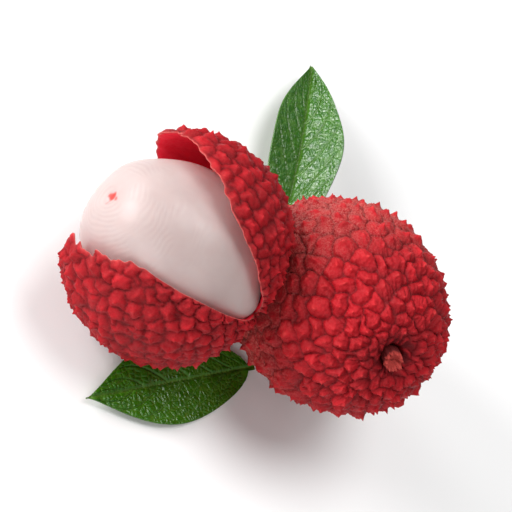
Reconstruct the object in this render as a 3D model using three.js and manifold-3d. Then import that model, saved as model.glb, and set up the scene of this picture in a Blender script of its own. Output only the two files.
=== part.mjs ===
// A bunch of two ripe lychees with two leaves, lying on a surface.
// The near fruit is half peeled: its white flesh sits in a cup of red skin that is split into two flaps.
// The far fruit is whole, with the stub of its stalk in the pit at its top.
// Millimetres, +Z up. The origin is on the surface, below the middle of the bunch.
import * as THREE from "three";
import { ConvexHull } from "three/addons/math/ConvexHull.js";
import { mergeVertices } from "three/addons/utils/BufferGeometryUtils.js";
import Module from "manifold-3d";

const wasm = await Module();
wasm.setup();

// A fruit is egg-shaped: half lengths towards its stem and blossom ends, and half its girth, in millimetres.
const WHOLE_EGG = { stem: 20.8, blossom: 20.3, girth: 16.8 };
const PEEL_EGG = { stem: 18.9, blossom: 14.8, girth: 15.1 };
const PEEL_THICKNESS = 0.75;
const FLESH_EGG = { stem: 19.4, blossom: 13.7, girth: 14.0 };

// Tubercles: the angular, pointed bumps that cover the skin, each on its own cell.
const WHOLE_TUBERCLE_HEIGHT = 1.2;
const PEEL_TUBERCLE_HEIGHT = 1.05;
const TUBERCLE_HEIGHT_SPREAD = 0.3;
const WHOLE_TUBERCLES = 460;
const PEEL_TUBERCLES = 620;
const TUBERCLE_JITTER = 0.3;
// How much the whole fruit's tubercles crowd together towards its stem end, where 1 is not at all.
const WHOLE_CROWDING = 1.5;

// Where the fruits lie, the spots that they lie on, and where their stem ends point.
const WHOLE_CENTRE = new THREE.Vector3(0, -1.2, 19.2);
const WHOLE_FOOT = new THREE.Vector3(-2.7, 1, 0);
const WHOLE_AXIS = new THREE.Vector3(0.577, -0.454, 0.679).normalize();
const PEELED_CENTRE = new THREE.Vector3(-19.9, -25.25, 17.7);
const PEELED_FOOT = new THREE.Vector3(-18.9, -27.8, 0);
const PEELED_AXIS = new THREE.Vector3(-0.685, -0.657, 0.315).normalize();
// The side of the peeled fruit that the split between its flaps faces.
const SPLIT_SIDE = new THREE.Vector3(0, -Math.SQRT1_2, Math.SQRT1_2);
// Moves the bunch so that the origin is below its middle.
const BUNCH_SHIFT = new THREE.Vector3(10.15, 2.4, 0);

// The fruits lean on each other, and their skins are pressed nearly flat there and where they lie.
const PEELED_REACH_TO_WHOLE = 15.2;
const WHOLE_REACH_TO_PEELED = 15.55;
const PRESS_SOFTNESS = 0.4;
const FLAT_SPOT_RADIUS = 4.2;
const FLAT_SPOT_DEPTH = 1.4;

// The pit at the whole fruit's stem end, and the stub of the stalk that stands in it.
const PIT_DEPTH = 2.6;
const PIT_HALF_ANGLE = 14;
const STUB_RADIUS = 1.6;
const STUB_HEIGHT = 2.8;
const STUB_HOLLOW = 0.9;
const STUB_SIDES = 14;
const STUB_RAGGEDNESS = 0.45;
const STUB_CLEARANCE = 0.3;

// The edge of the peel: [degrees round the fruit from the split, degrees from the stem end].
const PEEL_RIM = [
  [-180, 98], [-142, 84], [-120, 50], [-96, 28], [-73, 31], [-48, 36], [-31, 42], [-23, 51], [-17, 64],
  [-10, 86], [-6, 118], [2, 148], [10, 130], [15, 112], [19, 97], [30, 79], [38, 70], [52, 62], [64, 56],
  [78, 53], [115, 51], [136, 62], [148, 78], [180, 98],
];
// How far the flaps stand out from the flesh, as a share of its radius, and how their tips curl back.
const UPPER_FLAP = { turn: 95, width: 108, splay: 0.33, hinge: 172 };
const LOWER_FLAP = { turn: -86, width: 105, splay: 0.27, hinge: 180 };
const FLAP_CURL = { share: 0.34, from: 30, to: 95 };

// Leaves: a blade that tapers into its stalk, folded along the midrib.
const LEAF_THICKNESS = 0.65;
const MIDRIB_THICKNESS = 1.15;
const STALK_HALF_WIDTH = 0.65;
const TIP_HALF_WIDTH = 0.2;
const LEAF_STEPS_ALONG = 28;
const LEAF_STEPS_ACROSS = 8;
const UPPER_LEAF = {
  name: "leaf_upper", blade: 39.5, halfWidth: 7.9, taper: 1.05, stalk: 6, left: 15, right: 52,
  arch: 2.2, lift: 3, wave: 0.25, waves: 2.5, base: [-13, 11.3], heading: 132,
};
const LOWER_LEAF = {
  name: "leaf_lower", blade: 36, halfWidth: 7.2, taper: 1.25, stalk: 1.5, left: -3, right: 8,
  arch: 0.2, lift: 1, wave: 0.15, waves: 2, base: [1.9, -9.4], heading: 254.5,
};

const SKIN_RED = new THREE.MeshStandardMaterial({ color: 0xb81f26, roughness: 0.55, metalness: 0 });
const FLESH_WHITE = new THREE.MeshStandardMaterial({ color: 0xe9dcda, roughness: 0.3, metalness: 0 });
const STALK_BROWN = new THREE.MeshStandardMaterial({ color: 0x9c4330, roughness: 0.8, metalness: 0 });
const LEAF_GREEN = new THREE.MeshStandardMaterial({ color: 0x2b6a1c, roughness: 0.4, metalness: 0 });

const UP = new THREE.Vector3(0, 0, 1);
const GOLDEN_ANGLE = Math.PI * (3 - Math.sqrt(5));
const { degToRad, radToDeg, clamp, lerp, smoothstep } = THREE.MathUtils;

// A repeatable number from 0 to 1 for each pair of whole numbers.
function scatter(index, stream) {
  const wild = Math.sin(index * 12.9898 + stream * 78.233) * 43758.5453;
  return wild - Math.floor(wild);
}

// A point of the egg's surface, from its direction on a unit sphere whose +Z is the stem end.
function eggPoint(egg, direction) {
  const half = direction.z > 0 ? egg.stem : egg.blossom;
  return new THREE.Vector3(direction.x * egg.girth, direction.y * egg.girth, direction.z * half);
}

// The direction on the unit sphere that a point in or near the egg belongs to.
function eggDirection(egg, point) {
  const half = point.z > 0 ? egg.stem : egg.blossom;
  return new THREE.Vector3(point.x / egg.girth, point.y / egg.girth, point.z / half).normalize();
}

function grown(egg, by) {
  return { stem: egg.stem + by, blossom: egg.blossom + by, girth: egg.girth + by };
}

// The direction at some degrees from the stem end and some degrees round the fruit.
function directionAt(fromStem, turn) {
  const angle = degToRad(fromStem);
  const around = degToRad(turn);
  return new THREE.Vector3(
    Math.sin(angle) * Math.cos(around), Math.sin(angle) * Math.sin(around), Math.cos(angle),
  );
}

function stemAngle(direction) {
  return radToDeg(Math.acos(clamp(direction.z, -1, 1)));
}

function turnAngle(direction) {
  return radToDeg(Math.atan2(direction.y, direction.x));
}

// Closed meshes to solids and back, so that solids can be joined and cut.
function toSolid(geometry) {
  const bare = geometry.clone();
  bare.deleteAttribute("normal");
  bare.deleteAttribute("uv");
  const merged = mergeVertices(bare, 1e-4);
  const mesh = new wasm.Mesh({
    numProp: 3,
    vertProperties: merged.attributes.position.array,
    triVerts: new Uint32Array(merged.index.array),
  });
  return new wasm.Manifold(mesh);
}

function toGeometry(solid) {
  const mesh = solid.getMesh();
  const geometry = new THREE.BufferGeometry();
  geometry.setAttribute("position", new THREE.BufferAttribute(new Float32Array(mesh.vertProperties), 3));
  geometry.setIndex(new THREE.BufferAttribute(new Uint32Array(mesh.triVerts), 1));
  return geometry;
}

function trianglesToGeometry(points, triangles) {
  const geometry = new THREE.BufferGeometry().setFromPoints(points);
  geometry.setIndex(triangles.flat());
  return geometry;
}

function reshape(geometry, move) {
  const places = geometry.attributes.position;
  for (let i = 0; i < places.count; i += 1) {
    const moved = move(new THREE.Vector3().fromBufferAttribute(places, i));
    places.setXYZ(i, moved.x, moved.y, moved.z);
  }
  return geometry;
}

// A smooth egg.
function eggGeometry(egg, stepsRound, stepsAlong) {
  const ball = new THREE.SphereGeometry(1, stepsRound, stepsAlong).rotateX(Math.PI / 2);
  return reshape(ball, (direction) => eggPoint(egg, direction));
}

// Directions spread over a sphere, crowded towards the stem end and nudged, one for each tubercle.
function tubercleDirections(count, stream, crowding) {
  const nudge = TUBERCLE_JITTER * Math.sqrt((4 * Math.PI) / count);
  return Array.from({ length: count }, (_, i) => {
    const even = radToDeg(Math.acos(1 - (2 * i + 1) / count));
    const fromStem = even < 90 ? 90 * (even / 90) ** crowding : even;
    const direction = directionAt(fromStem, radToDeg(i * GOLDEN_ANGLE));
    const offset = [0, 1, 2].map((axis) => nudge * (fromStem / even) * (2 * scatter(i, stream + axis) - 1));
    return direction.add(new THREE.Vector3(...offset)).normalize();
  });
}

// The skin: every tubercle is a pyramid on its own cell of the egg, and the cells meet in the valleys.
function tubercleGeometry(egg, count, stream, crowding, heightAt, sinkAt) {
  const tips = tubercleDirections(count, stream, crowding);
  const hull = new ConvexHull().setFromPoints(tips);
  const tipNumber = new Map(tips.map((tip, i) => [tip, i]));
  const valleyNumber = new Map(hull.faces.map((face, i) => [face, count + i]));

  const points = tips.map((tip, i) => {
    const spread = 1 + TUBERCLE_HEIGHT_SPREAD * (2 * scatter(i, stream + 3) - 1);
    const rise = heightAt(tip) * spread - sinkAt(tip);
    return eggPoint(grown(egg, rise), tip);
  });
  hull.faces.forEach((face) => {
    const valley = face.normal.clone().normalize();
    points.push(eggPoint(grown(egg, -sinkAt(valley)), valley));
  });

  const triangles = [];
  hull.faces.forEach((face) => {
    let edge = face.edge;
    do {
      const tip = tipNumber.get(edge.tail().point);
      triangles.push([tip, valleyNumber.get(edge.twin.face), valleyNumber.get(face)]);
      edge = edge.next;
    } while (edge !== face.edge);
  });
  return trianglesToGeometry(points, triangles);
}

// Holds points back behind a plane that faces away from the fruit, with a soft shoulder.
function pressBehind(point, plane) {
  const beyond = plane.distanceToPoint(point);
  const held = -PRESS_SOFTNESS * Math.log1p(Math.exp(-beyond / PRESS_SOFTNESS));
  return point.addScaledVector(plane.normal, held - beyond);
}

// Keeps points above the floor, and sets those round the fruit's foot down on it as a flat spot.
function settle(point, floor, foot) {
  const above = floor.distanceToPoint(point);
  const below = point.clone().addScaledVector(floor.normal, -above);
  const inSpot = above < FLAT_SPOT_DEPTH && below.distanceTo(foot) < FLAT_SPOT_RADIUS;
  return above < 0 || inSpot ? below : point;
}

// A group whose +Z is the fruit's stem end and whose +X is the side towards a given direction.
function fruitGroup(centre, axis, side) {
  const across = side.clone().addScaledVector(axis, -side.dot(axis)).normalize();
  const third = new THREE.Vector3().crossVectors(axis, across);
  const group = new THREE.Group();
  group.quaternion.setFromRotationMatrix(new THREE.Matrix4().makeBasis(across, third, axis));
  group.position.copy(centre);
  group.updateMatrixWorld();
  return group;
}

function planeInGroup(plane, group) {
  return plane.clone().applyMatrix4(group.matrix.clone().invert());
}

function namedMesh(name, geometry, material) {
  const shaded = geometry.index ? geometry.toNonIndexed() : geometry;
  shaded.computeVertexNormals();
  const mesh = new THREE.Mesh(shaded, material);
  mesh.name = name;
  return mesh;
}

const floor = new THREE.Plane(UP, 0);
const towardsWhole = WHOLE_CENTRE.clone().sub(PEELED_CENTRE).normalize();
const wholeSideOfPeeled = new THREE.Plane().setFromNormalAndCoplanarPoint(
  towardsWhole,
  PEELED_CENTRE.clone().addScaledVector(towardsWhole, PEELED_REACH_TO_WHOLE),
);
const peeledSideOfWhole = new THREE.Plane().setFromNormalAndCoplanarPoint(
  towardsWhole.clone().negate(),
  WHOLE_CENTRE.clone().addScaledVector(towardsWhole, -WHOLE_REACH_TO_PEELED),
);

// The stub of the stalk: a short, ragged, hollowed peg on the fruit's axis.
function stubGeometry(radius, bottom, top, hollow, raggedness) {
  const profile = [
    new THREE.Vector2(0, bottom),
    new THREE.Vector2(radius * 0.85, bottom),
    new THREE.Vector2(radius, (bottom + top) / 2),
    new THREE.Vector2(radius * 0.95, top),
    new THREE.Vector2(radius * 0.55, top - hollow * 0.35),
    new THREE.Vector2(0, top - hollow),
  ];
  const peg = new THREE.LatheGeometry(profile, STUB_SIDES).rotateX(Math.PI / 2);
  return reshape(peg, (point) => {
    if (Math.abs(point.z - top) > 1e-3) return point;
    const step = Math.round(((turnAngle(point) + 360) % 360) / (360 / STUB_SIDES)) % STUB_SIDES;
    return point.setZ(top + raggedness * (2 * scatter(step, 31) - 1));
  });
}

// The whole fruit, with a socket in its pit for the stub.
function wholeFruit() {
  const group = fruitGroup(WHOLE_CENTRE, WHOLE_AXIS, UP);
  const localFloor = planeInGroup(floor, group);
  const localFoot = group.worldToLocal(WHOLE_FOOT.clone());
  const localSide = planeInGroup(peeledSideOfWhole, group);
  const pit = (direction) => PIT_DEPTH * Math.exp(-((stemAngle(direction) / PIT_HALF_ANGLE) ** 2));
  const height = (direction) => WHOLE_TUBERCLE_HEIGHT * smoothstep(stemAngle(direction), 4, 22);
  const skin = tubercleGeometry(WHOLE_EGG, WHOLE_TUBERCLES, 1, WHOLE_CROWDING, height, pit);
  reshape(skin, (point) => settle(pressBehind(point, localSide), localFloor, localFoot));

  const bottom = WHOLE_EGG.stem - PIT_DEPTH - STUB_HEIGHT / 3;
  const top = bottom + STUB_HEIGHT;
  const stub = stubGeometry(STUB_RADIUS, bottom, top, STUB_HOLLOW, STUB_RAGGEDNESS);
  const socket = new THREE.CylinderGeometry(
    STUB_RADIUS + STUB_CLEARANCE, STUB_RADIUS + STUB_CLEARANCE, STUB_HEIGHT * 2, STUB_SIDES * 2,
  );
  socket.rotateX(Math.PI / 2).translate(0, 0, bottom - STUB_CLEARANCE + STUB_HEIGHT);
  const fruit = toGeometry(toSolid(skin).subtract(toSolid(socket)));

  group.add(namedMesh("whole_lychee", fruit, SKIN_RED));
  group.add(namedMesh("stem_stub", stub, STALK_BROWN));
  return group;
}

// Degrees from the stem end to the edge of the peel, at some degrees round the fruit from the split.
function rimAngle(turn) {
  const next = Math.max(1, PEEL_RIM.findIndex(([at]) => at >= turn));
  const [before, low] = PEEL_RIM[next - 1];
  const [after, high] = PEEL_RIM[next];
  return lerp(low, high, (turn - before) / (after - before));
}

// How far one flap is bent outwards at a direction, as a share of the distance from the fruit's centre.
function flapSplay(direction, flap) {
  const turned = turnAngle(direction) - flap.turn;
  const away = Math.abs(THREE.MathUtils.euclideanModulo(turned + 180, 360) - 180);
  if (away > flap.width) return 0;
  const fromStem = stemAngle(direction);
  const curl = FLAP_CURL.share * (1 - smoothstep(fromStem, FLAP_CURL.from, FLAP_CURL.to));
  const opening = Math.max(0, 1 - (fromStem / flap.hinge) ** 2.5);
  return flap.splay * opening * (1 - curl) * (0.5 + 0.5 * Math.cos((Math.PI * away) / flap.width));
}

// Everything inside the edge of the peel, seen from the fruit's centre: a cone with a wandering edge.
function openingGeometry(egg) {
  const stepsRound = 90;
  const stepsAlong = 8;
  const points = [new THREE.Vector3(), eggPoint(egg, UP)];
  for (let ring = 1; ring <= stepsAlong; ring += 1) {
    for (let step = 0; step < stepsRound; step += 1) {
      const turn = (360 * step) / stepsRound - 180;
      points.push(eggPoint(egg, directionAt((rimAngle(turn) * ring) / stepsAlong, turn)));
    }
  }
  const at = (ring, step) => 2 + (ring - 1) * stepsRound + (step % stepsRound);
  const triangles = [];
  for (let step = 0; step < stepsRound; step += 1) {
    triangles.push([1, at(1, step), at(1, step + 1)]);
    for (let ring = 1; ring < stepsAlong; ring += 1) {
      triangles.push([at(ring, step), at(ring + 1, step), at(ring + 1, step + 1)]);
      triangles.push([at(ring, step), at(ring + 1, step + 1), at(ring, step + 1)]);
    }
    triangles.push([0, at(stepsAlong, step + 1), at(stepsAlong, step)]);
  }
  return trianglesToGeometry(points, triangles);
}

// The peeled fruit: the flesh, in the cup of skin whose flaps are bent outwards.
function peeledFruit() {
  const group = fruitGroup(PEELED_CENTRE, PEELED_AXIS, SPLIT_SIDE);
  const localFloor = planeInGroup(floor, group);
  const localFoot = group.worldToLocal(PEELED_FOOT.clone());
  const localSide = planeInGroup(wholeSideOfPeeled, group);
  const skin = tubercleGeometry(PEEL_EGG, PEEL_TUBERCLES, 41, 1, () => PEEL_TUBERCLE_HEIGHT, () => 0);
  const lining = eggGeometry(grown(PEEL_EGG, -PEEL_THICKNESS), 32, 20);
  const opening = openingGeometry(PEEL_EGG);
  opening.scale(3, 3, 3);
  const cup = toGeometry(toSolid(skin).subtract(toSolid(lining)).subtract(toSolid(opening)));
  reshape(cup, (point) => {
    const direction = eggDirection(PEEL_EGG, point);
    const splay = flapSplay(direction, UPPER_FLAP) + flapSplay(direction, LOWER_FLAP);
    point.addScaledVector(eggPoint(PEEL_EGG, direction), splay);
    return settle(pressBehind(point, localSide), localFloor, localFoot);
  });

  group.add(namedMesh("peeled_skin", cup, SKIN_RED));
  group.add(namedMesh("peeled_flesh", eggGeometry(FLESH_EGG, 36, 22), FLESH_WHITE));
  return group;
}

// Half the width of a leaf, from 0 at the base of the blade to 1 at its tip.
function bladeHalfWidth(leaf, share) {
  if (share <= 0) return STALK_HALF_WIDTH;
  const swell = Math.sin(Math.PI * Math.min(1, share) ** 0.95) ** lerp(0.6, leaf.taper, share);
  return Math.max(leaf.halfWidth * swell, share < 0.5 ? STALK_HALF_WIDTH : TIP_HALF_WIDTH);
}

// A leaf along +Y with its upper face up: two matching faces, closed along the edges and ends.
function leafGeometry(leaf) {
  const length = leaf.stalk + leaf.blade;
  const upper = [];
  const lower = [];
  for (let i = 0; i <= LEAF_STEPS_ALONG; i += 1) {
    const y = (length * i) / LEAF_STEPS_ALONG - leaf.stalk;
    const share = y / leaf.blade;
    const half = bladeHalfWidth(leaf, share);
    const rise = leaf.arch * Math.sin(Math.PI * clamp(share, 0, 1)) + leaf.lift * clamp(share, 0, 1) ** 2;
    for (let j = 0; j <= LEAF_STEPS_ACROSS; j += 1) {
      const across = (2 * j) / LEAF_STEPS_ACROSS - 1;
      const fold = degToRad(across < 0 ? leaf.left : leaf.right);
      const ripple = leaf.wave * across ** 2 * Math.sin(2 * Math.PI * leaf.waves * share);
      const x = across * half * Math.cos(fold);
      const z = rise + Math.abs(across) * half * Math.sin(fold) + ripple;
      const lean = across === 0 ? (leaf.left - leaf.right) / 2 : -Math.sign(across) * radToDeg(fold);
      const facing = new THREE.Vector3(Math.sin(degToRad(lean)), 0, Math.cos(degToRad(lean)));
      const thickness = lerp(LEAF_THICKNESS, MIDRIB_THICKNESS, (1 - Math.abs(across)) ** 4);
      upper.push(new THREE.Vector3(x, y, z));
      lower.push(new THREE.Vector3(x, y, z).addScaledVector(facing, -thickness));
    }
  }
  const row = LEAF_STEPS_ACROSS + 1;
  const under = upper.length;
  const triangles = [];
  const quad = (a, b, c, d) => triangles.push([a, b, c], [a, c, d]);
  for (let i = 0; i < LEAF_STEPS_ALONG; i += 1) {
    for (let j = 0; j < LEAF_STEPS_ACROSS; j += 1) {
      const a = i * row + j;
      quad(a, a + 1, a + row + 1, a + row);
      triangles.push([under + a, under + a + row + 1, under + a + 1]);
      triangles.push([under + a, under + a + row, under + a + row + 1]);
    }
    const left = i * row;
    const right = left + LEAF_STEPS_ACROSS;
    quad(left, left + row, under + left + row, under + left);
    quad(right, under + right, under + right + row, right + row);
  }
  const last = LEAF_STEPS_ALONG * row;
  for (let j = 0; j < LEAF_STEPS_ACROSS; j += 1) {
    quad(j, under + j, under + j + 1, j + 1);
    quad(last + j, last + j + 1, under + last + j + 1, under + last + j);
  }
  return trianglesToGeometry([...upper, ...lower], triangles);
}

// A leaf lying on the floor, with the base of its blade at a given place.
function layLeaf(leaf) {
  const geometry = leafGeometry(leaf);
  geometry.computeBoundingBox();
  const mesh = namedMesh(leaf.name, geometry, LEAF_GREEN);
  mesh.position.set(...leaf.base, -geometry.boundingBox.min.z);
  mesh.rotation.z = degToRad(leaf.heading - 90);
  return mesh;
}

const bunch = new THREE.Group();
bunch.position.copy(BUNCH_SHIFT);
bunch.add(wholeFruit(), peeledFruit(), layLeaf(UPPER_LEAF), layLeaf(LOWER_LEAF));

const root = new THREE.Group();
root.add(bunch);
export default root;
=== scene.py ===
"""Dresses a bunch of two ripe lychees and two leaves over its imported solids.

The near fruit is half peeled: its flesh sits in a cup of skin that is split into two flaps. Lengths are in
millimetres and angles in degrees until a mesh is made. The frame is that of the solids: +Z is up, and the
bunch lies on the surface at height 0.
"""

import logging
import math
from dataclasses import dataclass, field
from enum import Enum
from typing import Any, NamedTuple

import bmesh
import bpy
import numpy as np
from mathutils import Matrix, Vector


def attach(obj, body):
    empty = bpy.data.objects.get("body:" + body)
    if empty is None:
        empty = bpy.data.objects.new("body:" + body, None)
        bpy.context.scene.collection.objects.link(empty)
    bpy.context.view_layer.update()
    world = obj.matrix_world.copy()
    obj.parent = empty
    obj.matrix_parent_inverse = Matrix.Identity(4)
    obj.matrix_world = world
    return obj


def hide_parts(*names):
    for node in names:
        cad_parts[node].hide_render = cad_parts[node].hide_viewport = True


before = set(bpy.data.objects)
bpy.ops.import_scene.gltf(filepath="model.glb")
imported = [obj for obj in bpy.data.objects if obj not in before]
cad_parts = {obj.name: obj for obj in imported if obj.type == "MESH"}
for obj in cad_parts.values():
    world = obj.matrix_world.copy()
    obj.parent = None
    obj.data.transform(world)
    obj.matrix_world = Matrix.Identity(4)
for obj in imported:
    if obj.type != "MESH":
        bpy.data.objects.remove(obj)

LOG = logging.getLogger("lychees")
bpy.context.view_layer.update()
BODY = "root"
MM = 0.001
TINY = 1e-9
GOLDEN_ANGLE = math.pi * (3 - math.sqrt(5))
# Most of a noise's values lie between these shares.
NOISE_LIMITS = (0.3, 0.7)

Colour = tuple[float, float, float]
Point = tuple[float, float, float]
Span = tuple[float, float]


class Slot(Enum):
    """The record's material slots."""

    SKIN = "skin"
    PEEL = "peel"
    FLESH = "flesh"
    STALK = "stalk"
    LEAF = "leaf"


@dataclass(frozen=True)
class BumpForm:
    """How a tubercle rises from the valley round its cell: a steep edge, a slope and a point."""

    edge: float
    edge_width: float
    slope: float
    slope_power: float
    point: float
    point_start: float
    point_power: float

    def rise(self, inside: np.ndarray) -> np.ndarray:
        """Gives the height along the bump.

        Args:
            inside: 0 in the valley to 1 at the tip.

        Returns:
            Shares of the bump's height.
        """
        edge = self.edge * (1 - np.exp(-inside / self.edge_width))
        slope = self.slope * inside**self.slope_power
        pointed = np.clip((inside - self.point_start) / (1 - self.point_start), 0, 1)
        return edge + slope + self.point * pointed**self.point_power


class Bump(Enum):
    """The kinds of tubercle: a flat scale with a small peak, and a rounded cobble with a blunt point."""

    PEAKED = BumpForm(
        edge=0.32, edge_width=0.1, slope=0.13, slope_power=1.0, point=0.55, point_start=0.45, point_power=1.3,
    )
    COBBLED = BumpForm(
        edge=0.36, edge_width=0.15, slope=0.22, slope_power=1.2, point=0.42, point_start=0.0, point_power=5.0,
    )


def scatter(index: np.ndarray, stream: int) -> np.ndarray:
    """Gives a repeatable number for each whole number.

    Args:
        index: Whole numbers.
        stream: Which of many independent rows of numbers to take.

    Returns:
        Numbers from 0 to 1.
    """
    wild = np.sin(index * 12.9898 + stream * 78.233) * 43758.5453
    return wild - np.floor(wild)


def ease(low: float, high: float, value: np.ndarray) -> np.ndarray:
    """Rises smoothly from 0 to 1 between two limits.

    Args:
        low: Where the rise starts.
        high: Where it ends.
        value: Where to read it.

    Returns:
        Shares from 0 to 1.
    """
    share = np.clip((value - low) / (high - low), 0, 1)
    return share * share * (3 - 2 * share)


def unit(vectors: np.ndarray) -> np.ndarray:
    """Scales vectors to length 1, and leaves those of no length as they are."""
    return vectors / np.maximum(np.linalg.norm(vectors, axis=-1, keepdims=True), TINY)


def stem_angle(directions: np.ndarray) -> np.ndarray:
    """Gives degrees from the stem end, which is +Z."""
    return np.degrees(np.arccos(np.clip(directions[..., 2], -1, 1)))


def turn_angle(directions: np.ndarray) -> np.ndarray:
    """Gives degrees round the stem axis, from +X."""
    return np.degrees(np.arctan2(directions[..., 1], directions[..., 0]))


def direction_at(from_stem: np.ndarray, turn: np.ndarray) -> np.ndarray:
    """Gives the directions at angles from the stem end and round the stem axis.

    Args:
        from_stem: Degrees from +Z.
        turn: Degrees from +X, round +Z.

    Returns:
        Unit vectors.
    """
    angle, around = np.broadcast_arrays(np.radians(from_stem), np.radians(turn))
    flat = np.sin(angle)
    return np.stack([flat * np.cos(around), flat * np.sin(around), np.cos(angle)], axis=-1)


@dataclass(frozen=True)
class Egg:
    """A body of revolution whose two ends differ in length."""

    stem: float
    blossom: float
    girth: float

    def points(self, directions: np.ndarray, rise: np.ndarray | float = 0.0) -> np.ndarray:
        """Places directions on the egg's surface.

        Args:
            directions: Unit vectors with the stem end at +Z.
            rise: How far above the surface the points are.

        Returns:
            Points in the fruit's own frame.
        """
        half = np.where(directions[..., 2] > 0, self.stem, self.blossom)
        across = self.girth + np.asarray(rise)
        along = half + np.asarray(rise)
        sizes = np.stack(np.broadcast_arrays(across, across, along), axis=-1)
        return directions * sizes


@dataclass(frozen=True)
class Place:
    """Where a fruit lies, which way its stem end points, and which side faces a given way."""

    centre: Point
    axis: Point
    side: Point

    @property
    def turned(self) -> np.ndarray:
        """The fruit's own axes as rows, in the bunch's frame."""
        axis = unit(np.array(self.axis))
        side = np.array(self.side)
        across = unit(side - axis * side.dot(axis))
        return np.stack([across, np.cross(axis, across), axis])

    def to_bunch(self, points: np.ndarray) -> np.ndarray:
        """Carries points from the fruit's own frame into the bunch's."""
        return points @ self.turned + np.array(self.centre)


@dataclass(frozen=True)
class Grain:
    """Smooth noise, made of waves that run in many directions."""

    wavelength: float
    stream: int
    waves: int = 28

    def at(self, points: np.ndarray) -> np.ndarray:
        """Reads the noise.

        Args:
            points: Where to read it, in millimetres.

        Returns:
            Values spread round 0, mostly from -1.5 to 1.5.
        """
        draw = np.random.default_rng(self.stream)
        runs = unit(draw.normal(size=(self.waves, points.shape[-1])))
        pace = 2 * math.pi / (self.wavelength * draw.uniform(0.65, 1.5, self.waves))
        start = draw.uniform(0, 2 * math.pi, self.waves)
        total = np.zeros(points.shape[:-1])
        for run, speed, phase in zip(runs, pace, start):
            total += np.sin(points @ run * speed + phase)
        return total / math.sqrt(self.waves / 2)


def drift(points: np.ndarray, wavelength: float, stream: int) -> np.ndarray:
    """Gives each point a smooth, random shift.

    Args:
        points: Where to read it, in millimetres.
        wavelength: How far apart its waves are.
        stream: The first of three rows of noise to take.

    Returns:
        One shift for each point.
    """
    return np.stack([Grain(wavelength, stream + axis).at(points) for axis in range(3)], axis=-1)


class Cells(NamedTuple):
    """What a skin's cells say about some directions."""

    inside: np.ndarray
    number: np.ndarray


@dataclass(frozen=True)
class Tubercles:
    """The pointed bumps of a fruit's skin, each on its own cell."""

    count: int
    stream: int
    height: float
    spread: float = 0.3
    jitter: float = 0.3
    crowding: float = 1.0

    def tips(self) -> np.ndarray:
        """Gives the directions of the bumps' tips.

        Returns:
            Unit vectors, spread evenly, crowded towards the stem end and then nudged.
        """
        index = np.arange(self.count)
        even = np.degrees(np.arccos(1 - (2 * index + 1) / self.count))
        crowded = np.where(even < 90, 90 * (even / 90) ** self.crowding, even)
        directions = direction_at(crowded, np.degrees(index * GOLDEN_ANGLE))
        nudge = self.jitter * math.sqrt(4 * math.pi / self.count) * crowded / even
        offset = np.stack([2 * scatter(index, self.stream + axis) - 1 for axis in range(3)], axis=-1)
        return unit(directions + nudge[:, None] * offset)

    def cells(self, directions: np.ndarray) -> Cells:
        """Finds the cell of each direction.

        Args:
            directions: Unit vectors, one row each.

        Returns:
            How far inside its cell each is, from 0 in the valley to 1 at the tip, and the cell's number.
        """
        tips = self.tips().T
        inside, number = [], []
        for some in np.array_split(directions, max(1, len(directions) // 20000)):
            near = some @ tips
            first = near.argmax(axis=1)
            rows = np.arange(len(some))
            closest = np.arccos(np.clip(near[rows, first], -1, 1))
            near[rows, first] = -2
            second = np.arccos(np.clip(near.max(axis=1), -1, 1))
            inside.append((second - closest) / (second + closest))
            number.append(first)
        return Cells(np.concatenate(inside), np.concatenate(number))

    def heights(self, number: np.ndarray) -> np.ndarray:
        """Gives the height of each numbered bump, in millimetres."""
        return self.height * (1 + self.spread * (2 * scatter(number, self.stream + 3) - 1))


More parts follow.
